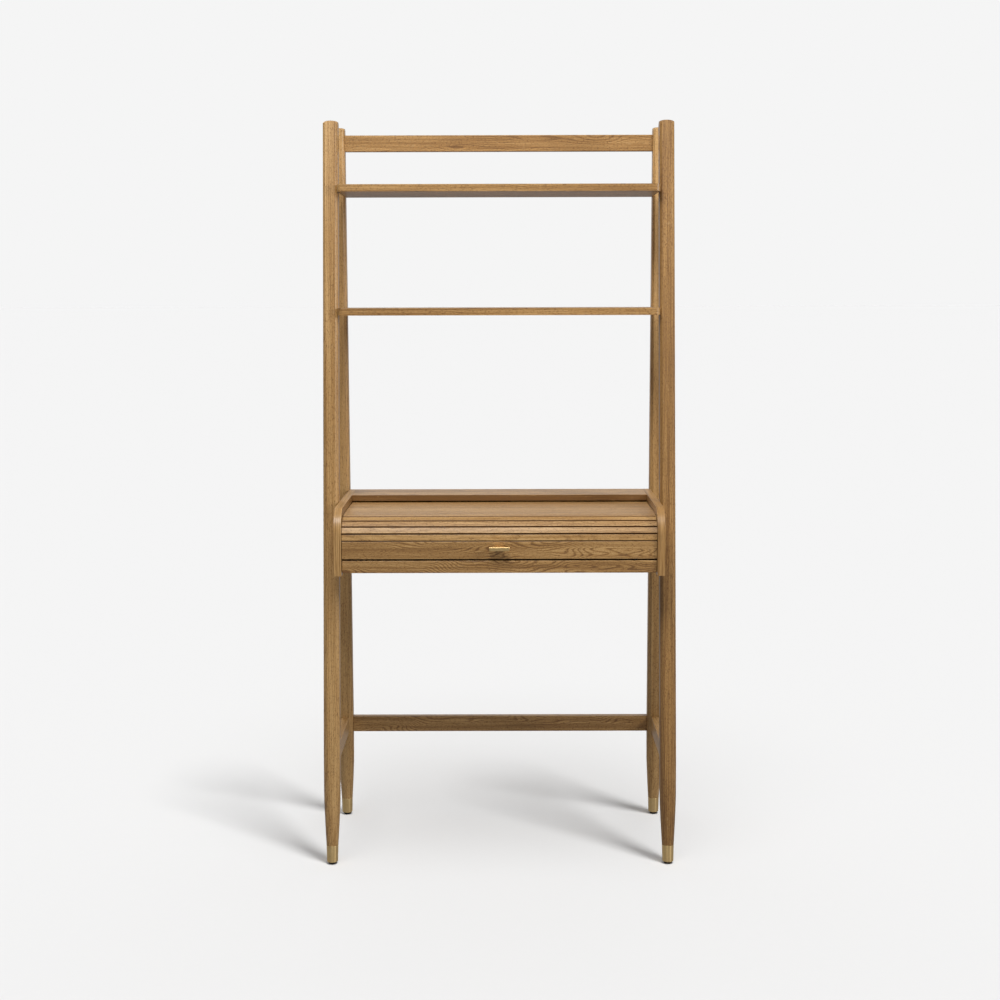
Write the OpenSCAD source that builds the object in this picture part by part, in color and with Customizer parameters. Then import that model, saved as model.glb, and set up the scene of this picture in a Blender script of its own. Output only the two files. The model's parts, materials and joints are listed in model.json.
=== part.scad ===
// Roll top desk on a leaning A-frame: four turned legs carry two open shelves and a desk case that is
// closed by a curtain of slats. Units are millimetres. +Z is up, the front faces -Y, and the origin is on
// the floor at the centre of the overall outline.

/* [Overall] */
// Width over the legs
overall_w = 886; // [820:1:960]
// Height to the tops of the legs
overall_h = 1860; // [1800:1:1920]
// Depth from the front of the pull to the back of the rear legs
overall_d = 459; // [455:1:475]

/* [Legs] */
// Width of a leg at its thickest, along X
leg_w = 40; // [38:1:44]
// Depth of a leg at its thickest, along Y
leg_d = 42; // [40:1:46]
// How much narrower a leg is at its top
leg_taper = 3; // [0:0.5:4]
// Distance between the feet of a side frame
foot_spread = 368; // [350:1:385]
// Distance between the tops of a side frame
top_spread = 162; // [150:1:175]
// Height of the metal cap on each foot
ferrule_h = 40; // [30:1:50]
// Radius of the leg where it enters the cap
ferrule_r = 14.9; // [14:0.1:16]

/* [Rails] */
// Height of the long rails and the side stretchers
rail_h = 42; // [36:1:50]
// Thickness of the long rails and the side stretchers
rail_t = 20; // [18:1:22]
// Underside of the lower stretchers above the floor
stretcher_z = 235.5; // [220:0.5:260]
// Gap between the top rail and the tops of the legs
top_rail_drop = 19; // [15:1:40]

/* [Shelves] */
// Thickness of the shelves
shelf_t = 18; // [16:1:22]
// Top of the upper shelf above the floor
upper_shelf_z = 1699; // [1640:1:1740]
// Top of the lower shelf above the floor
lower_shelf_z = 1391.5; // [1300:0.5:1450]
// Front edge of the upper shelf, ahead of the rear leg's centre
upper_shelf_reach = 229; // [215:1:235]
// Front edge of the lower shelf, ahead of the rear leg's centre
lower_shelf_reach = 254; // [245:1:262]

/* [Desk case] */
// Front edge of the side panels, ahead of the rear leg's centre
case_reach = 422; // [415:1:428]
// Thickness of the side panels
panel_t = 19; // [18:0.5:20]
// Underside of the side panels above the floor
panel_z = 744; // [735:1:750]
// Top of the side panels above the floor
case_top_z = 907; // [905:1:915]
// Radius of the upper front corner of the side panels
panel_corner_r = 58; // [50:1:65]
// Height of the writing surface above the floor
desk_z = 781; // [779:0.5:782]
// Thickness of the writing surface
worktop_t = 18; // [14:1:20]
// Height of the front rail under the curtain
front_rail_h = 30; // [26:1:32]
// Width of the fixed board over the back of the curtain
top_board_w = 117; // [110:1:120]

/* [Curtain] */
// Pitch of the slats
slat_pitch = 15.8; // [15.5:0.1:16]
// Thickness of the slats
slat_t = 8; // [7:0.5:8]
// Height of the wide lift rail at the front of the curtain
lift_rail_h = 44; // [43:0.5:44]
// Thickness of the lift rail
lift_rail_t = 14; // [12:1:16]

/* [Pull] */
// Length of the bar
pull_l = 48.5; // [40:0.5:60]
// Depth of the bar
pull_bar_d = 11; // [9:0.5:12]
// Height of the bar
pull_bar_h = 9.5; // [8:0.5:11]

/* [Hidden] */
$fn = 72;
touch = 0.05;

// Legs
leg_x = overall_w / 2 - leg_w / 2;
rear_y = overall_d / 2 - leg_d / 2;
foot_y = rear_y - foot_spread;
lean = atan((foot_spread - top_spread) / overall_h);
glide_h = 6;
glide_r = 9.5;
glide_stem_r = 3;
glide_stem_h = 7;
ferrule_base_r = 13.8;
ferrule_floor = 10;
spigot_r = 12.5;
wood_z = glide_h + ferrule_h;
taper_z = 260;
foot_z = 300;
body_r = 23.5;
foot_power = 1.8;
foot_steps = 9;
crown_r = 7;
crown_steps = 5;

// Rails and their tenons
tenon_l = 16;
tenon_t = 10;
tenon_shoulder = 6;
top_rail_z = overall_h - top_rail_drop - rail_h;
support_h = 60;
support_z = 800;

// Shelves and their dowels
shelf_back = 10;
shelf_corner_r = 12;
dowel_r = 5;
dowel_l = 36;
dowel_fit = 0.05;
dowel_clearance = 4;
rear_dowel_y = rear_y - 4;

// Desk case
case_y = rear_y - case_reach;
case_back_y = rear_y - 26;
panel_x = leg_x - leg_half(desk_z + 70, leg_w) - panel_t - 0.1;
bay_half = panel_x;
side_gap = 0.6;
rail_side_gap = 1.2;
rail_set_back = 6;
front_y = case_y + rail_set_back;
dado = 4;
front_tenon_l = 10;
front_tenon_shoulder = 5;
back_t = 6;
bottom_t = 6;
bottom_z = 752;
board_t = 16;
curtain_slot = 28;
bumper_r = 6;
bumper_x = 330;
screw_r = 3;
screw_head_r = 6;
screw_head_h = 4;
screw_l = 32;
screw_heights = [800, 850];

// Curtain: the hinge line runs up the front, round the front corner, back under the top board, and
// round the back corner when the curtain opens
bend_slats = 5;
top_slats = 14;
slat_count = bend_slats + top_slats;
drop_slats = 4;
tongue_first = 6;
tongue_last = 10;
bend_step = 90 / bend_slats;
bend_r = slat_pitch / (2 * sin(bend_step / 2));
hinge_y = front_y + slat_t;
lift_z = desk_z + 4;
bend_z = lift_z + lift_rail_h;
top_z = bend_z + bend_r;
bend_back_y = hinge_y + bend_r;
drop_y = case_back_y - back_t - slat_t - 3;
slat_gap = 0.2;
slat_round = 0.8;
slat_round_steps = 3;
tongue_l = 4;
tongue_t = 6;
groove_depth = 5;
groove_play = 0.8;
canvas_t = 0.6;
canvas_side = 30;

// Pull
pull_z = desk_z + 32;
pull_reach = overall_d - leg_d / 2 - case_reach + rail_set_back;
pull_post_w = 20;
pull_post_h = 7;
pull_round = 1.5;
pull_screw_r = 2;
pull_screw_l = 20;
pull_thread_l = 7;
pull_screw_head_r = 4;
pull_screw_head_h = 2.5;

oak = "#a47c4e";
oak_light = "#b38a5a";
oak_dark = "#8a6640";
brass = "#c9a869";
steel = "#b9b9b5";
rubber = "#1d1d1d";
cloth = "#7a6a50";

function slat_name(k) = str("slat_", k < 10 ? "0" : "", k);

// Half size of a leg along one side at height z, for a leg of full size s
function leg_half(z, s) =
    s / 2 - (z > taper_z ? leg_taper / 2 * (z - taper_z) / (overall_h - taper_z) : 0);

// Turned radius of a leg's foot at height z
function foot_r(z) =
    ferrule_r + (body_r - ferrule_r) * (1 - pow(1 - (z - wood_z) / (foot_z - wood_z), foot_power));

// Centre of a front leg at height z
function front_leg_y(z) = foot_y + (foot_spread - top_spread) * z / overall_h;

// Face of a front leg at height z, side -1 for its front and 1 for its back
function front_leg_face(z, side) = front_leg_y(z) + side * leg_half(z, leg_d) / cos(lean);

// Point on the round front corner of the hinge line, a degrees up from the vertical stretch
function bend_point(a) = [hinge_y + bend_r * (1 - cos(a)), bend_z + bend_r * sin(a)];

function slat_origin(k) =
    k <= bend_slats ? bend_point(bend_step * (k - 1))
                    : [bend_back_y + (k - 1 - bend_slats) * slat_pitch, top_z];

function slat_angle(k) = k <= bend_slats ? 90 - bend_step * (k - 0.5) : 0;

// Extrudes a shape drawn in Y and Z along X, from x to x + length
module along_x(x, length) {
    translate([x, 0, 0])
        rotate([90, 0, 90])
            linear_extrude(length)
                children();
}

// The same thing on both sides
module both_sides() {
    children();
    mirror([1, 0, 0])
        children();
}

module left() {
    mirror([1, 0, 0])
        children();
}

// ---- Legs ----

// Outline of the turning: tapered foot, straight body and rounded crown, for a leg of height h
function leg_outline(h) = concat(
    [[0, wood_z]],
    [for (i = [0:foot_steps]) let (z = wood_z + (foot_z - wood_z) * i / foot_steps) [foot_r(z), z]],
    [for (i = [0:crown_steps])
        let (a = 90 * i / crown_steps, r = leg_half(h, leg_w))
        [r - crown_r + crown_r * cos(a) + (body_r - r) * (1 - i / crown_steps),
         h - crown_r + crown_r * sin(a)]],
    [[0, h]]
);

// Outline of the squared bar, seen along one side, for a bar of full size s
module bar_outline(h, s) {
    polygon([
        [-s / 2, wood_z], [s / 2, wood_z], [s / 2, taper_z],
        [leg_half(h, s), h], [-leg_half(h, s), h], [-s / 2, taper_z]
    ]);
}

// A squared and tapered bar whose foot and corners are turned round, standing on Z
module turned_leg(h) {
    intersection() {
        rotate_extrude()
            polygon(leg_outline(h));
        rotate([90, 0, 0])
            translate([0, 0, -leg_d])
                linear_extrude(2 * leg_d)
                    bar_outline(h, leg_w);
        along_x(-leg_w, 2 * leg_w)
            bar_outline(h, leg_d);
    }
    translate([0, 0, wood_z - ferrule_h + ferrule_floor])
        cylinder(r = spigot_r, h = ferrule_h - ferrule_floor + touch);
}

module ferrule_shell() {
    difference() {
        translate([0, 0, wood_z - ferrule_h - 2])
            cylinder(r1 = ferrule_base_r, r2 = ferrule_r, h = ferrule_h + 2 - touch);
        translate([0, 0, wood_z - ferrule_h + ferrule_floor - touch])
            cylinder(r = spigot_r + touch, h = ferrule_h);
    }
}

// Moves a piece drawn for an upright leg to a front leg, which leans back
module at_front_leg() {
    translate([leg_x, foot_y, 0])
        rotate([-lean, 0, 0])
            children();
}

module at_rear_leg() {
    translate([leg_x, rear_y, 0])
        children();
}

module shelf_dowel_holes(y, z) {
    translate([leg_x - leg_w / 2 - touch, y, z])
        rotate([0, 90, 0])
            cylinder(r = dowel_r + dowel_fit, h = dowel_l / 2 + dowel_clearance);
}

module screw_hole(y, z) {
    translate([leg_x - leg_w / 2 - touch, y, z])
        rotate([0, 90, 0])
            cylinder(r = screw_r, h = screw_l - panel_t + screw_head_h + 1);
}

module front_leg() {
    difference() {
        at_front_leg()
            turned_leg((overall_h - crown_r * sin(lean)) / cos(lean));
        side_stretcher_tenons(touch);
        shelf_dowel_holes(front_leg_y(upper_shelf_z - shelf_t / 2), upper_shelf_z - shelf_t / 2);
        shelf_dowel_holes(front_leg_y(lower_shelf_z - shelf_t / 2), lower_shelf_z - shelf_t / 2);
        for (z = screw_heights)
            screw_hole(front_leg_y(z), z);
    }
}

module rear_leg() {
    difference() {
        at_rear_leg()
            turned_leg(overall_h);
        side_stretcher_tenons(touch);
        long_rail_tenon(rear_y, stretcher_z, rail_h, touch);
        long_rail_tenon(rear_y, top_rail_z, rail_h, touch);
        long_rail_tenon(case_back_y + rail_t / 2 + touch, support_z, support_h, touch);
        shelf_dowel_holes(rear_dowel_y, upper_shelf_z - shelf_t / 2);
        shelf_dowel_holes(rear_dowel_y, lower_shelf_z - shelf_t / 2);
    }
}

module front_leg_right() {
    color(oak)
        front_leg();
}

module front_leg_left() {
    left()
        front_leg_right();
}

module rear_leg_right() {
    color(oak)
        rear_leg();
}

module rear_leg_left() {
    left()
        rear_leg_right();
}

// A ferrule is cut level where it meets the glide, and drilled for the glide's stem
module ferrule_cut(y) {
    translate([leg_x, y, 0]) {
        translate([0, 0, glide_h / 2])
            cube([4 * glide_r, 4 * glide_r, glide_h], center = true);
        cylinder(r = glide_stem_r + touch, h = glide_h + glide_stem_h + touch);
    }
}

module ferrule_front_right() {
    color(brass)
        difference() {
            at_front_leg()
                ferrule_shell();
            ferrule_cut(front_leg_y(glide_h));
        }
}

module ferrule_front_left() {
    left()
        ferrule_front_right();
}

module ferrule_rear_right() {
    color(brass)
        difference() {
            at_rear_leg()
                ferrule_shell();
            ferrule_cut(rear_y);
        }
}

module ferrule_rear_left() {
    left()
        ferrule_rear_right();
}

module foot_glide(y) {
    translate([leg_x, y, 0]) {
        cylinder(r1 = glide_r - 1, r2 = glide_r, h = 1);
        translate([0, 0, 1])
            cylinder(r = glide_r, h = glide_h - 1);
        cylinder(r = glide_stem_r, h = glide_h + glide_stem_h - touch);
    }
}

module foot_glides() {
    color(rubber)
        both_sides() {
            foot_glide(front_leg_y(glide_h));
            foot_glide(rear_y);
        }
}

// ---- Rails and stretchers ----

// Inner face of the legs at height z
function leg_face_x(z) = leg_x - leg_half(z, leg_w);

module side_stretcher_tenons(grow) {
    z0 = stretcher_z + tenon_shoulder - grow;
    z1 = stretcher_z + rail_h - tenon_shoulder + grow;
    along_x(leg_x - tenon_t / 2 - grow, tenon_t + 2 * grow)
        polygon([
            [front_leg_face(z0, 1) - tenon_l - grow, z0], [rear_y - leg_d / 2 + tenon_l + grow, z0],
            [rear_y - leg_d / 2 + tenon_l + grow, z1], [front_leg_face(z1, 1) - tenon_l - grow, z1]
        ]);
}

module side_stretcher_right() {
    z0 = stretcher_z;
    z1 = stretcher_z + rail_h;
    color(oak) {
        along_x(leg_x - rail_t / 2, rail_t)
            polygon([
                [front_leg_face(z0, 1) + touch, z0], [rear_y - leg_d / 2, z0],
                [rear_y - leg_d / 2, z1], [front_leg_face(z1, 1) + touch, z1]
            ]);
        side_stretcher_tenons(0);
    }
}

module side_stretcher_left() {
    left()
        side_stretcher_right();
}

// One tenon of a rail that runs between the rear legs
module long_rail_tenon(y, z, h, grow) {
    translate([0, y - tenon_t / 2 - grow, z + tenon_shoulder - grow])
        cube([
            leg_face_x(z + h / 2) + tenon_l + grow, tenon_t + 2 * grow,
            h - 2 * tenon_shoulder + 2 * grow
        ]);
}

module long_rail(y, z, h) {
    half = leg_face_x(z) - touch;
    both_sides() {
        translate([0, y - rail_t / 2, z])
            cube([half, rail_t, h]);
        long_rail_tenon(y, z, h, 0);
    }
}

module rear_stretcher() {
    color(oak)
        long_rail(rear_y, stretcher_z, rail_h);
}

module top_rail() {
    color(oak)
        long_rail(rear_y, top_rail_z, rail_h);
}

module case_support_rail() {
    color(oak_dark)
        long_rail(case_back_y + rail_t / 2 + touch, support_z, support_h);
}

// ---- Shelves ----

module shelf(z, reach) {
    half = leg_face_x(z - shelf_t) - touch;
    depth = reach + shelf_back;
    z_mid = z - shelf_t / 2;
    color(oak_light)
        difference() {
            translate([0, rear_y - reach, z - shelf_t])
                linear_extrude(shelf_t)
                    difference() {
                        translate([-half, 0])
                            square([2 * half, depth]);
                        for (side = [0, 1])
                            mirror([side, 0])
                                translate([half - shelf_corner_r, shelf_corner_r])
                                    difference() {
                                        translate([0, -shelf_corner_r - 1])
                                            square(shelf_corner_r + 1);
                                        circle(r = shelf_corner_r);
                                    }
                    }
            both_sides()
                for (y = [front_leg_y(z_mid), rear_dowel_y])
                    translate([half - dowel_l / 2 - 1, y, z_mid])
                        rotate([0, 90, 0])
                            cylinder(r = dowel_r + dowel_fit, h = dowel_l);
        }
}

module upper_shelf() {
    shelf(upper_shelf_z, upper_shelf_reach);
}

module lower_shelf() {
    shelf(lower_shelf_z, lower_shelf_reach);
}

// Beech dowels that join the shelf ends to the legs
module shelf_dowels() {
    color(oak_light)
        both_sides()
            for (z = [upper_shelf_z - shelf_t / 2, lower_shelf_z - shelf_t / 2])
                for (y = [front_leg_y(z), rear_dowel_y])
                    translate([leg_face_x(z) - dowel_l / 2, y, z])
                        rotate([0, 90, 0])
                            cylinder(r = dowel_r, h = dowel_l);
}

// ---- Desk case ----

// Side panel seen from the side, with a round upper front corner
module panel_outline() {
    translate([case_y + panel_corner_r, panel_z])
        square([case_back_y - case_y - panel_corner_r, case_top_z - panel_z]);
    translate([case_y, panel_z])
        square([panel_corner_r + touch, case_top_z - panel_z - panel_corner_r]);
    translate([case_y + panel_corner_r, case_top_z - panel_corner_r])
        circle(r = panel_corner_r);
}

// Everything inside the hinge line, grown outwards by g
module curtain_path(g) {
    low_z = desk_z - worktop_t - 1;
    translate([hinge_y - g, low_z])
        square([drop_y - hinge_y + 2 * g, bend_z - low_z]);
    translate([bend_back_y, bend_z - touch])
        square([drop_y - bend_r - bend_back_y, bend_r + g + touch]);
    for (y = [bend_back_y, drop_y - bend_r])
        translate([y, bend_z])
            circle(r = bend_r + g);
}

// The groove that the slat tongues run in
module curtain_groove() {
    along_x(panel_x - touch, groove_depth + touch)
        difference() {
            curtain_path(slat_t + groove_play);
            curtain_path(-groove_play);
        }
}

module side_panel_right() {
    color(oak)
        difference() {
            along_x(panel_x, panel_t)
                panel_outline();
            curtain_groove();
            board_end(worktop_z, worktop_t, front_y + rail_t, worktop_back_y, touch);
            board_end(bottom_z, bottom_t, front_y + rail_t, case_back_y - back_t, touch);
            front_rail_tenon(touch);
            for (z = screw_heights)
                translate([panel_x, front_leg_y(z), z])
                    rotate([0, 90, 0]) {
                        translate([0, 0, -touch])
                            cylinder(r = screw_head_r + 0.5, h = screw_head_h + 1 + touch);
                        cylinder(r = screw_r + touch, h = panel_t + 1);
                    }
        }
}

module side_panel_left() {
    left()
        side_panel_right();
}

worktop_z = desk_z - worktop_t;
worktop_back_y = case_back_y - back_t - curtain_slot;

// End of a board that sits in a dado of the right side panel
module board_end(z, t, y0, y1, grow) {
    translate([panel_x - 1, y0 - grow, z - grow])
        cube([dado + 1 + grow, y1 - y0 + 2 * grow, t + 2 * grow]);
}

module board(z, t, y0, y1) {
    both_sides() {
        translate([0, y0, z])
            cube([panel_x - touch, y1 - y0, t]);
        board_end(z, t, y0, y1, 0);
    }
}

module worktop() {
    color(oak_light)
        board(worktop_z, worktop_t, front_y + rail_t, worktop_back_y);
}

module bottom_panel() {
    color(oak_dark)
        board(bottom_z, bottom_t, front_y + rail_t, case_back_y - back_t);
}

// A piece that fits between the side panels
module between_panels(y0, y1, z0, z1) {
    translate([-panel_x + touch, y0, z0])
        cube([2 * (panel_x - touch), y1 - y0, z1 - z0]);
}

// End tenon of the front rail, in a mortise of the right side panel
module front_rail_tenon(grow) {
    z0 = desk_z - front_rail_h + front_tenon_shoulder;
    z1 = desk_z - front_tenon_shoulder;
    translate([panel_x - rail_side_gap - touch, front_y + tenon_shoulder - grow, z0 - grow])
        cube([
            rail_side_gap + front_tenon_l + touch + grow, rail_t - 2 * tenon_shoulder + 2 * grow,
            z1 - z0 + 2 * grow
        ]);
}

module front_rail() {
    color(oak)
        both_sides() {
            translate([0, front_y, desk_z - front_rail_h])
                cube([panel_x - rail_side_gap, rail_t - touch, front_rail_h]);
            front_rail_tenon(0);
        }
}

module top_board() {
    color(oak_light)
        between_panels(case_back_y - top_board_w, case_back_y, case_top_z - board_t, case_top_z);
}

module back_panel() {
    color(oak_dark)
        between_panels(case_back_y - back_t, case_back_y, bottom_z, case_top_z - board_t - touch);
}

// Screws from inside the case into the front legs
module case_screws() {
    color(steel)
        both_sides()
            for (z = screw_heights)
                translate([panel_x + 1, front_leg_y(z), z])
                    rotate([0, 90, 0])
                        difference() {
                            union() {
                                cylinder(r = screw_head_r, h = screw_head_h);
                                cylinder(r = screw_r - touch, h = screw_l);
                            }
                            translate([0, 0, -touch])
                                cylinder(r = screw_r / 2, h = screw_head_h / 2, $fn = 6);
                        }
}

module closing_bumpers() {
    color(rubber)
        both_sides()
            translate([bumper_x, front_y + rail_t / 2, desk_z])
                cylinder(r = bumper_r, h = lift_z - desk_z - 0.5);
}

// ---- Curtain ----

// Section of a slat: u runs along the curtain and v is the thickness, outwards from the hinge line
module slat_section(length, thickness, inside) {
    u0 = slat_gap;
    u1 = length - slat_gap;
    r = slat_round;
    polygon(concat(
        [[u0, -inside], [u1, -inside]],
        [for (i = [0:slat_round_steps]) let (a = 90 * i / slat_round_steps)
            [u1 - r + r * cos(a), thickness - r + r * sin(a)]],
        [for (i = [0:slat_round_steps]) let (a = 90 + 90 * i / slat_round_steps)
            [u0 + r + r * cos(a), thickness - r + r * sin(a)]]
    ));
}

// Draws a slat's section at its place in the closed curtain
module at_slat(k) {
    translate(slat_origin(k))
        rotate(slat_angle(k))
            children();
}

module slat(k) {
    half = panel_x - side_gap;
    color(oak)
        union() {
            along_x(-half, 2 * half)
                at_slat(k)
                    slat_section(slat_pitch, slat_t, 0);
            if (k >= tongue_first && k <= tongue_last)
                both_sides()
                    along_x(half - touch, tongue_l + touch)
                        at_slat(k)
                            translate([slat_gap, (slat_t - tongue_t) / 2])
                                square([slat_pitch - 2 * slat_gap, tongue_t]);
        }
}

module lift_rail() {
    half = panel_x - rail_side_gap;
    color(oak)
        difference() {
            along_x(-half, 2 * half)
                translate([hinge_y, lift_z])
                    rotate(90)
                        translate([-slat_gap, 0])
                            slat_section(lift_rail_h + slat_gap, slat_t, lift_rail_t - slat_t);
            translate([0, front_y - touch, pull_z])
                rotate([-90, 0, 0])
                    cylinder(r = pull_screw_r + touch, h = lift_rail_t + 2 * touch);
            translate([0, front_y + lift_rail_t - pull_screw_head_h, pull_z])
                rotate([-90, 0, 0])
                    cylinder(r = pull_screw_head_r + touch, h = pull_screw_head_h + touch);
        }
}

// Canvas glued to the back of a run of straight slats
module canvas(first, last) {
    half = panel_x - canvas_side;
    color(cloth)
        along_x(-half, 2 * half)
            translate([slat_origin(first)[0] + 3 * slat_gap, top_z - canvas_t])
                square([(last - first + 1) * slat_pitch - 6 * slat_gap, canvas_t]);
}

module curtain_canvas_top() {
    canvas(tongue_first, tongue_last);
}

module curtain_canvas_tail() {
    canvas(slat_count - drop_slats + 1, slat_count);
}

// ---- Pull ----

module pull_bar() {
    back = pull_bar_d / 2 - pull_round;
    up = pull_bar_h / 2 - pull_round;
    bar_y = front_y - pull_reach + pull_bar_d / 2;
    color(brass)
        along_x(-pull_l / 2, pull_l)
            translate([bar_y, pull_z]) {
                square([pull_bar_d - 2 * pull_round, pull_bar_h], center = true);
                square([pull_bar_d, pull_bar_h - 2 * pull_round], center = true);
                for (y = [-back, back])
                    for (z = [-up, up])
                        translate([y, z])
                            circle(r = pull_round);
            }
}

module pull_post() {
    depth = pull_reach - pull_bar_d;
    color(brass)
        difference() {
            translate([-pull_post_w / 2, front_y - depth, pull_z - pull_post_h / 2])
                cube([pull_post_w, depth, pull_post_h]);
            translate([0, front_y - pull_thread_l, pull_z])
                rotate([-90, 0, 0])
                    cylinder(r = pull_screw_r + touch, h = depth);
        }
}

module pull_screw() {
    back_y = front_y + lift_rail_t;
    color(steel)
        translate([0, back_y, pull_z])
            rotate([90, 0, 0]) {
                cylinder(r = pull_screw_head_r, h = pull_screw_head_h);
                cylinder(r = pull_screw_r, h = pull_screw_l - touch);
            }
}

front_leg_left();
front_leg_right();
rear_leg_left();
rear_leg_right();
ferrule_front_left();
ferrule_front_right();
ferrule_rear_left();
ferrule_rear_right();
foot_glides();
side_stretcher_left();
side_stretcher_right();
rear_stretcher();
top_rail();
case_support_rail();
upper_shelf();
lower_shelf();
shelf_dowels();
side_panel_left();
side_panel_right();
top_board();
back_panel();
worktop();
bottom_panel();
front_rail();
case_screws();
closing_bumpers();
lift_rail();
pull_bar();
pull_post();
pull_screw();
curtain_canvas_top();
curtain_canvas_tail();
for (k = [1:slat_count])
    slat(k);
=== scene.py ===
import json
import math
import random

import bmesh
import bpy
from mathutils import Matrix, Vector

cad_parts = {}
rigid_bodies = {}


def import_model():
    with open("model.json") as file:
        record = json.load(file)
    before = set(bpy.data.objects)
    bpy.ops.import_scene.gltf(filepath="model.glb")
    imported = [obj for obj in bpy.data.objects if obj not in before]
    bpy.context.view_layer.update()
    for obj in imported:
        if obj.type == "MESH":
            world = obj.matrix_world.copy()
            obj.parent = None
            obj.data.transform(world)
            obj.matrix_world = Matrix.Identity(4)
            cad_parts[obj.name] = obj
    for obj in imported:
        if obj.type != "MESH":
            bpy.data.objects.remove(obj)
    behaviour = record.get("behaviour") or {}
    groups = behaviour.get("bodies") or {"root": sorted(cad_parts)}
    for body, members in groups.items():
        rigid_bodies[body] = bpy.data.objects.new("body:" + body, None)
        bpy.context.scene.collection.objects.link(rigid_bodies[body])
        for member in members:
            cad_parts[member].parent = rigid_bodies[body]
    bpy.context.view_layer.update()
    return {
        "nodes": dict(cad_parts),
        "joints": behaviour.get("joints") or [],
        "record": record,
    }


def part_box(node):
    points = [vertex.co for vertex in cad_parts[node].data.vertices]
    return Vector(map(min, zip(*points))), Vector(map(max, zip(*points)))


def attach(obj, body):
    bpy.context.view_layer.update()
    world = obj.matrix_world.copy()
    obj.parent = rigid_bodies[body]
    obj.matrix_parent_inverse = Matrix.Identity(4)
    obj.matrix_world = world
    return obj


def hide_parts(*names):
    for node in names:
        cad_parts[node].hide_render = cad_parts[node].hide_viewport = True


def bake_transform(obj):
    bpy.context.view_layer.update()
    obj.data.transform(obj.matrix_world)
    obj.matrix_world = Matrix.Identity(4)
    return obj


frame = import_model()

NODES = frame["nodes"]
JOINTS = {j["name"]: j for j in frame["joints"]}
BODY_OF = {n: b for b, ns in frame["record"]["behaviour"]["bodies"].items() for n in ns}
scene = bpy.context.scene
scene.view_settings.view_transform = "Standard"


# ---------- small node helpers ----------

class Tree:
    """Short calls for building a node tree."""

    def __init__(self, tree):
        self.tree = tree
        self.nodes, self.links = tree.nodes, tree.links

    def add(self, kind, inputs=(), **settings):
        n = self.nodes.new(kind)
        for k, v in settings.items():
            setattr(n, k, v)
        items = inputs.items() if isinstance(inputs, dict) else enumerate(inputs)
        for k, v in items:
            self.put(n.inputs[k], v)
        return n

    def put(self, socket, v):
        if isinstance(v, bpy.types.NodeSocket):
            self.links.new(v, socket)
        elif v is not None:
            socket.default_value = v

    def math(self, op, a, b=0.0, c=0.0, clamp=False):
        return self.add("ShaderNodeMath", (a, b, c), operation=op, use_clamp=clamp).outputs[0]

    def vec(self, op, a, b=(0, 0, 0)):
        return self.add("ShaderNodeVectorMath", (a, b), operation=op).outputs[0]

    def noise(self, vector, scale, detail=2.0, rough=0.5, distortion=0.0):
        n = self.add("ShaderNodeTexNoise", {"Vector": vector, "Scale": scale, "Detail": detail,
                                            "Roughness": rough, "Distortion": distortion})
        return n.outputs["Fac"]

    def ramp(self, value, lo, hi, a=0.0, b=1.0):
        n = self.add("ShaderNodeMapRange", {"Value": value, "From Min": lo, "From Max": hi,
                                            "To Min": a, "To Max": b}, interpolation_type="SMOOTHSTEP")
        return n.outputs[0]

    def mix(self, fac, a, b, blend="MIX"):
        n = self.add("ShaderNodeMix", data_type="RGBA", blend_type=blend)
        self.put(n.inputs[0], fac)
        self.put(n.inputs[6], a)
        self.put(n.inputs[7], b)
        return n.outputs[2]


def new_material(name):
    m = bpy.data.materials.new(name)
    m.use_nodes = True
    m.node_tree.nodes.clear()
    t = Tree(m.node_tree)
    bsdf = t.add("ShaderNodeBsdfPrincipled")
    out = t.add("ShaderNodeOutputMaterial")
    t.links.new(bsdf.outputs[0], out.inputs[0])
    return m, t, bsdf


def rgb(c):
    return (*c, 1.0)


# ---------- oak ----------

OAK_DARK = (0.175, 0.080, 0.020)
OAK_MID = (0.370, 0.197, 0.060)
OAK_LIGHT = (0.560, 0.342, 0.136)
OAK_PORE = (0.095, 0.042, 0.012)
OAK_FLECK = (0.60, 0.40, 0.19)
RINGS_PER_METRE = 255.0
# How far each pattern moves the tone, which runs from dark at 0 to light at 1
TONE_MIDDLE = 0.52
BROAD_WEIGHT, STREAK_WEIGHT, FINE_WEIGHT, PATCH_WEIGHT = 1.05, 1.15, 0.95, 0.60
DASH_WEIGHT, DASH_MEAN = -0.66, 0.22
RING_WEIGHT, FIGURE_LIFT = -0.62, 0.20


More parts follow.
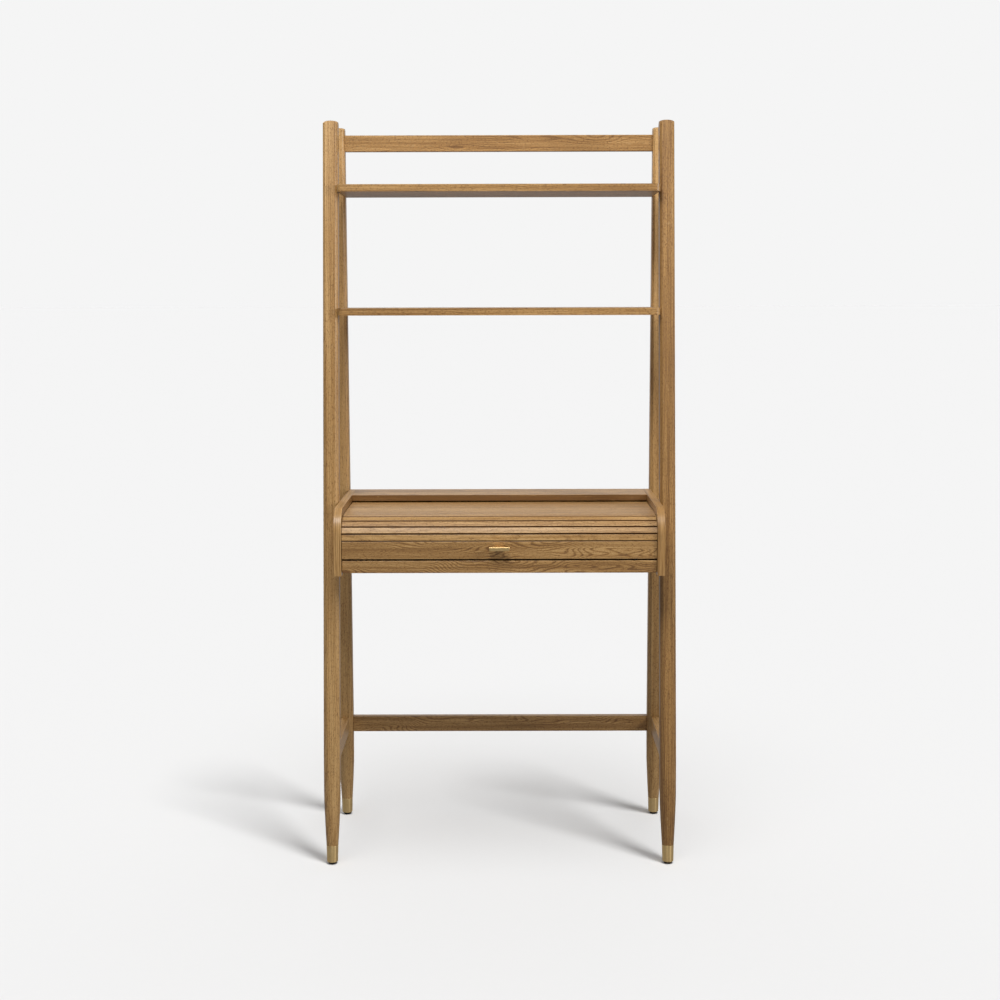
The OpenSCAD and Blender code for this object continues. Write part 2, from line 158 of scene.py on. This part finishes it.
def oak_group():
    """Oak as a solid texture. Vector's first component runs along the grain, in metres."""
    g = bpy.data.node_groups.new("oak", "ShaderNodeTree")
    face = g.interface
    face.new_socket("Vector", in_out="INPUT", socket_type="NodeSocketVector")
    for name, value in (("Tone", 0.0), ("Figure", 0.5), ("Eyes", 0.3), ("Pith U", 0.05), ("Pith V", -0.04),
                        ("Taper", 0.02)):
        face.new_socket(name, in_out="INPUT", socket_type="NodeSocketFloat").default_value = value
    for name, kind in (("Color", "Color"), ("Roughness", "Float"), ("Height", "Float")):
        face.new_socket(name, in_out="OUTPUT", socket_type="NodeSocket" + kind)
    t = Tree(g)
    gi, go = t.add("NodeGroupInput"), t.add("NodeGroupOutput")
    vector = gi.outputs["Vector"]

    def stretched(along, across):
        return t.vec("MULTIPLY", vector, (along, across, across))

    sep = t.add("ShaderNodeSeparateXYZ", (vector,))
    along, u, v = sep.outputs[:]

    # growth rings round a wandering pith, which give the cathedral figure where the board is cut flat
    wander = t.noise(stretched(1.1, 5.0), 1.0, 2.0, 0.5)
    eyes = t.noise(stretched(5.5, 26.0), 1.0, 1.0, 0.4)
    wobble = t.noise(stretched(9.0, 60.0), 1.0, 3.0, 0.55)
    du = t.math("SUBTRACT", u, gi.outputs["Pith U"])
    dv = t.math("SUBTRACT", v, gi.outputs["Pith V"])
    r = t.math("SQRT", t.math("ADD", t.math("MULTIPLY", du, du), t.math("MULTIPLY", dv, dv)))
    r = t.math("MULTIPLY_ADD", along, gi.outputs["Taper"], r)
    r = t.math("MULTIPLY_ADD", wander, 0.045, r)
    r = t.math("MULTIPLY_ADD", t.math("MULTIPLY", eyes, gi.outputs["Eyes"]), 0.085, r)
    r = t.math("MULTIPLY_ADD", wobble, 0.0045, r)
    rings = t.math("FRACT", t.math("MULTIPLY", r, RINGS_PER_METRE))
    early = t.ramp(rings, 0.0, 0.42, 1.0, 0.0)
    late = t.ramp(rings, 0.80, 1.0, 0.0, 1.0)
    ring = t.math("MAXIMUM", early, late)

    # fibre streaks of several widths
    broad = t.noise(stretched(0.9, 26.0), 1.0, 2.0, 0.5, 0.3)
    streak = t.noise(stretched(3.2, 190.0), 1.0, 3.0, 0.6)
    fine = t.noise(stretched(9.0, 900.0), 1.0, 3.0, 0.65)
    patch = t.noise(stretched(0.7, 7.0), 1.0, 2.0, 0.5)

    # open pores: short dashes, thick in the early wood
    pore_n = t.noise(stretched(70.0, 2100.0), 1.0, 1.0, 0.5)
    pore_at = t.math("MULTIPLY_ADD", ring, -0.085, 0.665)
    pore = t.add("ShaderNodeMapRange", {"Value": pore_n, "From Max": t.math("ADD", pore_at, 0.05),
                                        "From Min": pore_at, "To Min": 0.0, "To Max": 1.0}).outputs[0]
    # broader dashes, which still show from some way off
    dash_n = t.noise(stretched(190.0, 620.0), 1.0, 2.0, 0.6)
    dash = t.ramp(dash_n, 0.53, 0.70, 0.0, 1.0)
    # pale ray flecks across the grain
    fleck_n = t.noise(stretched(45.0, 150.0), 1.0, 1.0, 0.5, 0.5)
    fleck = t.ramp(fleck_n, 0.68, 0.76, 0.0, 0.35)

    tone = TONE_MIDDLE
    for pattern, mean, weight in ((broad, 0.5, BROAD_WEIGHT), (streak, 0.5, STREAK_WEIGHT),
                                  (fine, 0.5, FINE_WEIGHT), (patch, 0.5, PATCH_WEIGHT),
                                  (dash, DASH_MEAN, DASH_WEIGHT)):
        tone = t.math("MULTIPLY_ADD", t.math("SUBTRACT", pattern, mean), weight, tone)
    ring_dark = t.math("MULTIPLY", t.math("MULTIPLY", ring, gi.outputs["Figure"]), RING_WEIGHT)
    tone = t.math("ADD", tone, ring_dark)
    tone = t.math("MULTIPLY_ADD", gi.outputs["Figure"], FIGURE_LIFT, tone)
    tone = t.math("ADD", tone, gi.outputs["Tone"])
    ramp = t.add("ShaderNodeValToRGB", (tone,))
    el = ramp.color_ramp.elements
    el[0].position, el[0].color = 0.0, rgb(OAK_DARK)
    el[1].position, el[1].color = 1.0, rgb(OAK_LIGHT)
    mid = el.new(0.5)
    mid.color = rgb(OAK_MID)
    color = t.mix(t.math("MULTIPLY", pore, 0.62), ramp.outputs[0], rgb(OAK_PORE))
    color = t.mix(t.math("MULTIPLY", fleck, 0.5), color, rgb(OAK_FLECK))
    rough = t.math("MULTIPLY_ADD", streak, 0.16, 0.40)
    rough = t.math("MULTIPLY_ADD", pore, 0.22, rough)
    height = t.math("MULTIPLY_ADD", pore, -1.0, t.math("MULTIPLY", fine, 0.28))
    height = t.math("MULTIPLY_ADD", ring, -0.16, height)
    t.links.new(color, go.inputs["Color"])
    t.links.new(rough, go.inputs["Roughness"])
    t.links.new(height, go.inputs["Height"])
    return g


OAK = oak_group()
# The front legs' lean: how far back their middle goes between foot and top, over the height between
LEG_TRIM, LEAN_HEIGHT = 0.030, 1.815
leg_low, leg_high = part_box("front_leg_right")
LEAN = math.atan2(leg_high.y - leg_low.y - LEG_TRIM, LEAN_HEIGHT)
# Mapping rotations that bring the grain onto the first axis
GRAIN = {"x": (0, 0, 0), "y": (0, 0, -math.pi / 2), "z": (0, math.pi / 2, 0)}


def grain_vector(t, grain, rnd):
    """Object coordinates turned so that the grain is first, and moved so that each board is cut elsewhere."""
    coord = t.add("ShaderNodeTexCoord").outputs["Object"]
    if grain == "lean":
        coord = t.add("ShaderNodeMapping", {"Vector": coord, "Rotation": (LEAN, 0, 0)}).outputs[0]
        grain = "z"
    shift = (rnd.uniform(-9, 9), rnd.uniform(-0.03, 0.03), rnd.uniform(-0.03, 0.03))
    turned = t.add("ShaderNodeMapping", {"Vector": coord, "Rotation": GRAIN[grain]}).outputs[0]
    return t.add("ShaderNodeMapping", {"Vector": turned, "Location": shift}).outputs[0]


BUMP_HEIGHT, BUMP_STRENGTH = 0.0004, 0.35


def oak(name, grain="x", tone=0.0, figure=0.5, pith=(0.05, -0.04), taper=0.02, eyes=0.3,
        seed=1, edge=False, front=0.0):
    """A board's oak. edge lays the grain along the board's edges, where its normal leaves X.
    front changes the tone of the face that looks forward, which paints shade on that face."""
    rnd = random.Random(seed * 7919)
    m, t, bsdf = new_material(name)
    vector = grain_vector(t, grain, rnd)
    if edge:
        coord = t.add("ShaderNodeTexCoord").outputs["Object"]
        band = t.vec("MULTIPLY", coord, (1.0, 0.02, 0.02))
        band = t.add("ShaderNodeMapping", {"Vector": band, "Rotation": (0, 0, -math.pi / 2)}).outputs[0]
        normal = t.add("ShaderNodeSeparateXYZ", (t.add("ShaderNodeNewGeometry").outputs["True Normal"],))
        side = t.math("GREATER_THAN", t.math("ABSOLUTE", normal.outputs[0]), 0.75)
        n = t.add("ShaderNodeMix", data_type="VECTOR")
        t.put(n.inputs[0], side)
        t.put(n.inputs[4], band)
        t.put(n.inputs[5], vector)
        vector = n.outputs[1]
    g = t.add("ShaderNodeGroup", node_tree=OAK)
    t.put(g.inputs["Vector"], vector)
    for k, val in (("Tone", tone), ("Figure", figure), ("Eyes", eyes), ("Pith U", pith[0]),
                   ("Pith V", pith[1]), ("Taper", taper)):
        g.inputs[k].default_value = val
    # Painted shade: the face that looks forward is made darker by front
    if front:
        normal = t.add("ShaderNodeSeparateXYZ", (t.add("ShaderNodeNewGeometry").outputs["True Normal"],))
        front_face_shade = t.ramp(normal.outputs[1], -0.95, -0.40, 1.0, 0.0)
        t.put(g.inputs["Tone"], t.math("MULTIPLY_ADD", front_face_shade, front, tone))
    t.links.new(g.outputs["Color"], bsdf.inputs["Base Color"])
    t.links.new(g.outputs["Roughness"], bsdf.inputs["Roughness"])
    b = t.add("ShaderNodeBump", {"Height": g.outputs["Height"], "Distance": BUMP_HEIGHT,
                                 "Strength": BUMP_STRENGTH})
    t.links.new(b.outputs[0], bsdf.inputs["Normal"])
    bsdf.inputs["Specular IOR Level"].default_value = 0.42
    bsdf.inputs["Coat Weight"].default_value = 0.32
    bsdf.inputs["Coat Roughness"].default_value = 0.28
    return m


# ---------- other materials ----------

def brass(name, brushed="z"):
    """Brass with turning lines round Z, or brushed along X, and a few dull stains."""
    m, t, bsdf = new_material(name)
    coord = t.add("ShaderNodeTexCoord").outputs["Object"]
    scale = {"x": (30, 2600, 2600), "z": (90, 90, 3200)}[brushed]
    lines = t.noise(t.vec("MULTIPLY", coord, scale), 1.0, 3.0, 0.6)
    cloud = t.noise(coord, 60.0, 3.0, 0.55)
    stain = t.ramp(t.noise(coord, 210.0, 4.0, 0.6), 0.48, 0.75)
    base = t.mix(cloud, rgb((0.80, 0.54, 0.23)), rgb((0.92, 0.68, 0.34)))
    base = t.mix(t.math("MULTIPLY", stain, 0.25), base, rgb((0.44, 0.28, 0.11)))
    t.links.new(base, bsdf.inputs["Base Color"])
    bsdf.inputs["Metallic"].default_value = 1.0
    r = t.math("MULTIPLY_ADD", lines, 0.16, 0.27)
    if brushed == "z":
        tangent = t.add("ShaderNodeTangent", direction_type="RADIAL", axis="Z").outputs[0]
        t.links.new(tangent, bsdf.inputs["Tangent"])
        bsdf.inputs["Anisotropic"].default_value = 0.8
        bsdf.inputs["Anisotropic Rotation"].default_value = 0.25
    t.links.new(t.math("MULTIPLY_ADD", stain, 0.10, r), bsdf.inputs["Roughness"])
    b = t.add("ShaderNodeBump", {"Height": lines, "Distance": 0.00006, "Strength": 0.5})
    t.links.new(b.outputs[0], bsdf.inputs["Normal"])
    return m


def steel(name):
    m, t, bsdf = new_material(name)
    coord = t.add("ShaderNodeTexCoord").outputs["Object"]
    n = t.noise(coord, 900.0, 3.0, 0.6)
    t.links.new(t.mix(n, rgb((0.42, 0.42, 0.41)), rgb((0.62, 0.62, 0.60))), bsdf.inputs["Base Color"])
    bsdf.inputs["Metallic"].default_value = 1.0
    t.links.new(t.math("MULTIPLY_ADD", n, 0.2, 0.28), bsdf.inputs["Roughness"])
    return m


def rubber(name):
    m, t, bsdf = new_material(name)
    coord = t.add("ShaderNodeTexCoord").outputs["Object"]
    n = t.noise(coord, 1400.0, 3.0, 0.6)
    dust = t.ramp(t.noise(coord, 130.0, 4.0, 0.6), 0.45, 0.8, 0.0, 0.45)
    base = t.mix(n, rgb((0.010, 0.010, 0.010)), rgb((0.022, 0.021, 0.020)))
    t.links.new(t.mix(dust, base, rgb((0.055, 0.050, 0.044))), bsdf.inputs["Base Color"])
    t.links.new(t.math("MULTIPLY_ADD", n, 0.2, 0.55), bsdf.inputs["Roughness"])
    b = t.add("ShaderNodeBump", {"Height": n, "Distance": 0.0001, "Strength": 0.4})
    t.links.new(b.outputs[0], bsdf.inputs["Normal"])
    return m


def canvas_cloth(name):
    """Plain weave, about 9 threads per centimetre."""
    threads = 900
    m, t, bsdf = new_material(name)
    coord = t.add("ShaderNodeTexCoord").outputs["Object"]
    sep = t.add("ShaderNodeSeparateXYZ", (coord,))
    x = t.math("MULTIPLY", sep.outputs[0], math.pi * threads)
    run = t.math("MULTIPLY", t.math("ADD", sep.outputs[1], sep.outputs[2]), math.pi * threads)
    warp = t.math("ABSOLUTE", t.math("SINE", x))
    weft = t.math("ABSOLUTE", t.math("SINE", run))
    over = t.math("GREATER_THAN", t.math("MULTIPLY", t.math("SINE", x), t.math("SINE", run)), 0.0)
    n = t.add("ShaderNodeMix", data_type="FLOAT")
    t.put(n.inputs[0], over)
    t.put(n.inputs[2], warp)
    t.put(n.inputs[3], weft)
    thread = n.outputs[0]
    fuzz = t.noise(coord, 2400.0, 2.0, 0.6)
    shade = t.math("MULTIPLY_ADD", fuzz, 0.35, t.math("MULTIPLY", thread, 0.65))
    base = t.mix(shade, rgb((0.105, 0.080, 0.052)), rgb((0.300, 0.245, 0.170)))
    t.links.new(base, bsdf.inputs["Base Color"])
    bsdf.inputs["Roughness"].default_value = 0.92
    bsdf.inputs["Sheen Weight"].default_value = 0.25
    b = t.add("ShaderNodeBump", {"Height": thread, "Distance": 0.0003, "Strength": 0.6})
    t.links.new(b.outputs[0], bsdf.inputs["Normal"])
    return m


# ---------- pieces made from the CAD nodes ----------

def collection_link(obj):
    scene.collection.objects.link(obj)
    return obj


# The curtain's section, in metres and degrees, as in the CAD
SLAT_PITCH, SLAT_T, SLAT_GAP = 0.0158, 0.008, 0.0002
CAD_ROUND, SEEN_ROUND = 0.0008, 0.0015
HINGE_Y, BEND_Z, BEND_R, BEND_STEP, BEND_SLATS = -0.1995, 0.829, 0.0505, 18.0, 5
LIFT_Z, LIFT_H = 0.785, 0.044
# A slat's faces that lean more than this towards its neighbours are the walls of a groove, which take a
# darker oak as painted shade
GROOVE_SLOPE = 0.6
# How close to a corner's round a vertex has to be to belong to it
ROUND_SLACK = 1e-5
# Much darker oak for the groove walls: painted shade in the grooves
OAK_GROOVE_SHADE = oak("oak painted groove shade", "x", -1.25, 0.2, pith=(-0.02, 0.82), seed=41)


def bend_point(degrees):
    a = math.radians(degrees)
    return Vector((0, HINGE_Y + BEND_R * (1 - math.cos(a)), BEND_Z + BEND_R * math.sin(a)))


def slat_frame(k):
    """Where slat k starts on the hinge line, the way along the curtain, and the way out of it.
    0 is the lift rail."""
    if k == 0:
        start, degrees = Vector((0, HINGE_Y, LIFT_Z)), 90.0
    elif k <= BEND_SLATS:
        start, degrees = bend_point(BEND_STEP * (k - 1)), 90.0 - BEND_STEP * (k - 0.5)
    else:
        start, degrees = bend_point(90) + Vector((0, (k - 1 - BEND_SLATS) * SLAT_PITCH, 0)), 0.0
    a = math.radians(degrees)
    return start, Vector((0, math.cos(a), math.sin(a))), Vector((0, -math.sin(a), math.cos(a)))


def ease_slat(bm, k, low, high):
    """Widens the round of the two outer corners of a slat that runs from low to high along the
    curtain, so that the grooves show."""
    start, along, out = slat_frame(k)
    grow = SEEN_ROUND / CAD_ROUND
    for v in bm.verts:
        u, w = (v.co - start).dot(along), (v.co - start).dot(out)
        if w < SLAT_T - CAD_ROUND - ROUND_SLACK:
            continue
        for corner in (low, high):
            if abs(u - corner) < CAD_ROUND + ROUND_SLACK:
                v.co += along * (u - corner) * (grow - 1) + out * (w - SLAT_T) * (grow - 1)


WELD, FLAT_ANGLE, SHARP_ANGLE = 4e-6, 0.6, 50


def refine(node, material, width=0.0012, segments=3, angle=34.0, ease=None):
    """A piece that stands for a CAD node: its mesh welded, its flat faces joined and its arrises rounded to
    width. ease gives ease_slat its slat, low and high, and gives the groove walls the darker oak of painted
    shade."""
    bm = bmesh.new()
    bm.from_mesh(NODES[node].data)
    bmesh.ops.remove_doubles(bm, verts=bm.verts, dist=WELD)
    bmesh.ops.dissolve_limit(bm, angle_limit=math.radians(FLAT_ANGLE), verts=bm.verts, edges=bm.edges)
    if ease:
        ease_slat(bm, *ease)
    if width > 0:
        limit = math.radians(angle)
        sharp = [e for e in bm.edges if len(e.link_faces) == 2 and e.calc_face_angle(0.0) > limit]
        bmesh.ops.bevel(bm, geom=sharp, offset=width, offset_type="OFFSET", segments=segments,
                        profile=0.5, affect="EDGES", clamp_overlap=True)
    bmesh.ops.triangulate(bm, faces=[f for f in bm.faces if len(f.verts) > 4])
    bmesh.ops.recalc_face_normals(bm, faces=bm.faces)
    # Groove walls take the second, darker oak: painted shade
    if ease:
        along = slat_frame(ease[0])[1]
        bm.normal_update()
        for face in bm.faces:
            face.material_index = int(abs(face.normal.dot(along)) > GROOVE_SLOPE)
    mesh = bpy.data.meshes.new("oak_" + node)
    bm.to_mesh(mesh)
    bm.free()
    mesh.polygons.foreach_set("use_smooth", [True] * len(mesh.polygons))
    mesh.set_sharp_from_angle(angle=math.radians(SHARP_ANGLE))
    mesh.materials.append(material)
    if ease:
        mesh.materials.append(OAK_GROOVE_SHADE)
    piece = collection_link(bpy.data.objects.new("fine_" + node, mesh))
    weighted = piece.modifiers.new("flat faces", "WEIGHTED_NORMAL")
    weighted.keep_sharp = True
    weighted.weight = 90
    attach(piece, BODY_OF[node])
    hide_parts(node)
    return piece


BRASS_TURNED = brass("brass turned", "z")
BRASS_BAR = brass("brass bar", "x")
STEEL = steel("steel")
RUBBER = rubber("black rubber")
CANVAS = canvas_cloth("canvas")

# Each board's oak: name, grain, tone, figure
LEG = dict(figure=0.34, taper=0.010, eyes=0.12)
BOARDS = {
    "front_leg_left": oak("oak front leg left", "lean", 0.00, seed=1, pith=(0.06, 0.03), **LEG),
    # The right front leg is set darker than the other legs: painted shade on that leg
    "front_leg_right": oak("oak front leg right", "lean", -0.36, seed=2, pith=(-0.05, 0.05), **LEG),
    "rear_leg_left": oak("oak rear leg left", "z", 0.22, seed=3, pith=(0.05, -0.05), **LEG),
    "rear_leg_right": oak("oak rear leg right", "z", 0.06, seed=4, pith=(0.06, 0.04), **LEG),
    "side_stretcher_left": oak("oak side stretcher left", "y", -0.02, 0.35, seed=5),
    "side_stretcher_right": oak("oak side stretcher right", "y", -0.02, 0.35, seed=6),
    "rear_stretcher": oak("oak rear stretcher", "x", -0.05, 0.75, eyes=0.8, seed=7),
    "top_rail": oak("oak top rail", "x", -0.19, 0.55, eyes=0.6, seed=8),
    "case_support_rail": oak("oak support rail", "x", -0.06, 0.35, pith=(0.22, 0.78), seed=9),
    "upper_shelf": oak("oak upper shelf", "x", -0.16, 0.40, seed=10),
    "lower_shelf": oak("oak lower shelf", "x", -0.24, 0.40, seed=11),
    "side_panel_left": oak("oak side panel left", "y", -0.12, 0.40, seed=12, edge=True),
    "side_panel_right": oak("oak side panel right", "y", -0.12, 0.40, seed=13, edge=True),
    # The top board's front face is darkened by front: painted shade
    "top_board": oak("oak top board", "x", -0.16, 0.45, seed=14, front=-0.70),
    "back_panel": oak("oak back panel", "x", -0.06, 0.55, pith=(0.10, 0.83), seed=15),
    "worktop": oak("oak worktop", "x", 0.03, 0.45, pith=(0.00, 0.72), seed=16),
    "bottom_panel": oak("oak bottom panel", "x", -0.05, 0.45, pith=(0.00, 0.70), seed=17),
    "front_rail": oak("oak front rail", "x", -0.34, 0.95, eyes=1.0, seed=18),
    "lift_rail": oak("oak lift rail", "x", -0.17, 0.95, eyes=1.0, seed=19),
    "shelf_dowels": oak("beech dowels", "x", 0.15, 0.1, seed=20),
}
LEGS = ("front_leg_left", "front_leg_right", "rear_leg_left", "rear_leg_right")
for node, material in BOARDS.items():
    if node in LEGS:
        refine(node, material, width=0.0022, segments=4, angle=22.0)
    elif node == "shelf_dowels":
        refine(node, material, width=0.0006, segments=2)
    elif node == "lift_rail":
        refine(node, material, width=0.0006, segments=2, angle=40.0, ease=(0, 0.0, LIFT_H - SLAT_GAP))
    else:
        refine(node, material, width=0.0016 if "shelf" in node or "panel" in node else 0.0012)

SLATS = sorted(n for n in NODES if n.startswith("slat_"))
SLAT_TONES = (0.03, 0.00, 0.05, -0.02, 0.02)
SLAT_OAK = [oak(f"oak slat {i}", "x", tone, 0.28, pith=(-0.02, 0.82), seed=30 + i)
            for i, tone in enumerate(SLAT_TONES)]
for i, node in enumerate(SLATS):
    # Steps of 3 through the 5 oaks keep neighbours different
    refine(node, SLAT_OAK[(i * 3) % len(SLAT_OAK)], width=0.0004, segments=2, angle=40.0,
           ease=(i + 1, SLAT_GAP, SLAT_PITCH - SLAT_GAP))

for node, material, width, segments in (
        ("ferrule_front_left", BRASS_TURNED, 0.0005, 2),
        ("ferrule_front_right", BRASS_TURNED, 0.0005, 2),
        ("ferrule_rear_left", BRASS_TURNED, 0.0005, 2),
        ("ferrule_rear_right", BRASS_TURNED, 0.0005, 2),
        ("pull_bar", BRASS_BAR, 0.0005, 2),
        ("pull_post", BRASS_BAR, 0.0004, 2),
        ("pull_screw", STEEL, 0.0002, 2),
        ("case_screws", STEEL, 0.0003, 2),
        ("foot_glides", RUBBER, 0.0004, 2),
        ("closing_bumpers", RUBBER, 0.0006, 3),
        ("curtain_canvas_top", CANVAS, 0.0, 1),
        ("curtain_canvas_tail", CANVAS, 0.0, 1)):
    refine(node, material, width, segments)

# Cloth thickness and half width, how far from the hinge the cloth bends, and the gap left where the
# cloth meets that of a longer body
CANVAS_T, CANVAS_HALF = 0.0006, 0.354
CANVAS_LIFT = 0.00002
FOLD_REACH, FOLD_STEPS = 0.0025, 4
SLAT_MIDDLE = SLAT_PITCH / 2
BUTT = 0.0006
# Slats 6 to 10 and 16 on have their own cloth in the CAD, and the lift rail's is only at its edge
ENDS_AT_EDGE, STARTS_AT_EDGE = (0, 10), (6, 16)
FOLDS = (0, 1, 2, 3, 4, 5, 10, 11, 12, 13, 14, 15)


def canvas_fold(k):
    """The canvas behind the fold between slat k and the next, from middle to middle, or to the edge
    of a longer piece."""
    _, along_a, out_a = slat_frame(k)
    hinge, along_b, out_b = slat_frame(k + 1)
    before = BUTT if k in ENDS_AT_EDGE else SLAT_MIDDLE
    after = BUTT if k + 1 in STARTS_AT_EDGE else SLAT_MIDDLE
    turn = FOLD_REACH if min(before, after) > FOLD_REACH else BUTT * 0.9
    steps = range(FOLD_STEPS)
    stations = [(-before, out_a)] + [(-turn * (1 - i / FOLD_STEPS), out_a) for i in steps if turn < before]
    stations += [(0.0, (out_a + out_b).normalized())]
    stations += [(turn * (i + 1) / FOLD_STEPS, out_b) for i in steps if turn < after] + [(after, out_b)]
    bm = bmesh.new()
    rows = []
    for t, out in stations:
        point = hinge + (along_a if t < 0 else along_b) * t
        rows.append([bm.verts.new(point + Vector((x, 0, 0)) - out * depth)
                     for x in (-CANVAS_HALF, CANVAS_HALF) for depth in (CANVAS_LIFT, CANVAS_T)])
    for a, b in zip(rows, rows[1:]):
        for i, j in ((0, 2), (2, 3), (3, 1), (1, 0)):
            bm.faces.new((a[i], a[j], b[j], b[i]))
    bm.faces.new([rows[0][i] for i in (0, 1, 3, 2)])
    bm.faces.new([rows[-1][i] for i in (0, 2, 3, 1)])
    bmesh.ops.recalc_face_normals(bm, faces=bm.faces)
    mesh = bpy.data.meshes.new(f"canvas_fold_{k:02d}")
    bm.to_mesh(mesh)
    bm.free()
    mesh.materials.append(CANVAS)
    piece = collection_link(bpy.data.objects.new(f"canvas_fold_{k:02d}", mesh))
    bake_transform(piece)


for k in FOLDS:
    canvas_fold(k)


# ---------- floor, light and camera ----------

BACKDROP = 0.913
# The floor as the camera sees it, and as the light that it throws back at the desk
FLOOR_ALBEDO, FLOOR_BOUNCE = 0.717, 0.27
FLOOR_SIZE = 400
# Levels of the two lamps on the floor, which cast the broad shadow and the feet's streaks
POOL, STREAK = 0.32, 0.62
# The sky in front, what it gains overhead, and what it gains behind the desk
SKY_LOW, SKY_RISE, SKY_BEHIND = 0.12, 0.12, 0.46
AIM = (0.0, 0.0, 0.9)


def floor():
    """A pale floor, which throws less light back up at the desk than the camera sees."""
    m, t, bsdf = new_material("studio floor")
    coord = t.add("ShaderNodeTexCoord").outputs["Object"]
    n = t.noise(coord, 40.0, 3.0, 0.5)
    seen = t.mix(n, rgb((FLOOR_ALBEDO * 0.995,) * 3), rgb((FLOOR_ALBEDO * 1.005,) * 3))
    camera_ray = t.add("ShaderNodeLightPath").outputs["Is Camera Ray"]
    t.links.new(t.mix(camera_ray, rgb((FLOOR_BOUNCE,) * 3), seen), bsdf.inputs["Base Color"])
    bsdf.inputs["Roughness"].default_value = 0.9
    bsdf.inputs["Specular IOR Level"].default_value = 0.0
    bpy.ops.mesh.primitive_plane_add(size=FLOOR_SIZE)
    plane = bpy.context.object
    plane.name = "studio_floor"
    plane.data.materials.append(m)
    return plane


def group_of(name, objects, state="INCLUDE"):
    """A collection outside the scene, for a light's receivers or blockers."""
    group = bpy.data.collections.new(name)
    for o in objects:
        group.objects.link(o)
    for entry in group.collection_objects:
        entry.light_linking.link_state = state
    return group


def place(lamp, direction, location=(0, 0, 0)):
    lamp.rotation_mode = "QUATERNION"
    lamp.rotation_quaternion = Vector(direction).to_track_quat("Z", "Y")
    lamp.location = location
    return collection_link(lamp)


def sun(name, azimuth, elevation, level, angle, receivers, blockers=None):
    """A lamp that adds level to a white floor. azimuth is where it stands, from the front (-Y)
    towards +X."""
    a, e = math.radians(azimuth), math.radians(elevation)
    data = bpy.data.lights.new(name, "SUN")
    data.energy, data.angle = level * math.pi / math.sin(e), math.radians(angle)
    direction = (math.sin(a) * math.cos(e), -math.cos(a) * math.cos(e), math.sin(e))
    lamp = place(bpy.data.objects.new(name, data), direction)
    lamp.light_linking.receiver_collection = receivers
    if blockers:
        lamp.light_linking.blocker_collection = blockers
    return lamp


def softbox(name, location, target, size, level, receivers):
    """A square lamp that adds level to a white surface facing it at its target."""
    data = bpy.data.lights.new(name, "AREA")
    way = Vector(location) - Vector(target)
    data.size = size
    data.energy = level * math.pi ** 2 * way.length_squared
    lamp = place(bpy.data.objects.new(name, data), way, location)
    lamp.light_linking.receiver_collection = receivers
    return lamp


FLOOR = floor()
ONLY_FLOOR = group_of("floor only", [FLOOR])
NOT_FLOOR = group_of("all but the floor", [FLOOR], "EXCLUDE")
STREAK_CASTERS = group_of("feet and legs", [o for o in bpy.data.objects if o.name.startswith(
    ("fine_front_leg", "fine_rear_leg", "fine_ferrule", "fine_foot"))])

sun("pool", 0, 73, POOL, 45, ONLY_FLOOR)
sun("streak", 51, 73, STREAK, 9.5, ONLY_FLOOR, STREAK_CASTERS)
softbox("overhead", (-0.30, -2.1, 4.0), AIM, 1.5, 0.80, NOT_FLOOR)
softbox("right front", (2.7, -1.7, 2.1), AIM, 0.9, 0.42, NOT_FLOOR)
softbox("back", (-1.9, 2.6, 2.9), AIM, 1.2, 0.18, NOT_FLOOR)

world = bpy.data.worlds.new("studio")
scene.world = world
world.use_nodes = True
world.node_tree.nodes.clear()
wt = Tree(world.node_tree)
way = wt.add("ShaderNodeSeparateXYZ", (wt.add("ShaderNodeTexCoord").outputs["Generated"],))
sky = wt.ramp(way.outputs[1], -0.1, 0.8, SKY_LOW, SKY_LOW + SKY_BEHIND)
sky = wt.math("MULTIPLY_ADD", wt.math("MAXIMUM", way.outputs[2], 0.0), SKY_RISE, sky)
seen = wt.add("ShaderNodeBackground", {"Color": rgb((BACKDROP,) * 3), "Strength": 1.0})
lit = wt.add("ShaderNodeBackground", {"Color": rgb((1.0, 1.0, 1.0)), "Strength": sky})
path = wt.add("ShaderNodeLightPath")
mixed = wt.add("ShaderNodeMixShader", (path.outputs["Is Camera Ray"], lit.outputs[0], seen.outputs[0]))
wt.add("ShaderNodeOutputWorld", (mixed.outputs[0],))

# Focal length in pixels of a 1000 pixel frame, sensor in millimetres, the camera's place in metres and
# its turns in degrees, all from the fit to the photograph
FOCAL_PX, FRAME_PX = 1500.0, 1000
SENSOR = 36.0
CAM_POS = Vector((0.0097, -3.8085, 1.4215))
CAM_PITCH, CAM_YAW, CAM_ROLL = 6.43, -0.12, -0.14
cam_data = bpy.data.cameras.new("camera")
cam_data.sensor_width = SENSOR
cam_data.lens = FOCAL_PX / FRAME_PX * SENSOR
cam_data.shift_y = -0.035
cam_data.clip_end = 500
camera = collection_link(bpy.data.objects.new("camera", cam_data))
camera.matrix_world = (Matrix.Translation(CAM_POS)
                       @ Matrix.Rotation(math.radians(-CAM_YAW), 4, "Z")
                       @ Matrix.Rotation(math.radians(90 - CAM_PITCH), 4, "X")
                       @ Matrix.Rotation(math.radians(CAM_ROLL), 4, "Z"))
scene.camera = camera

bpy.context.view_layer.update()
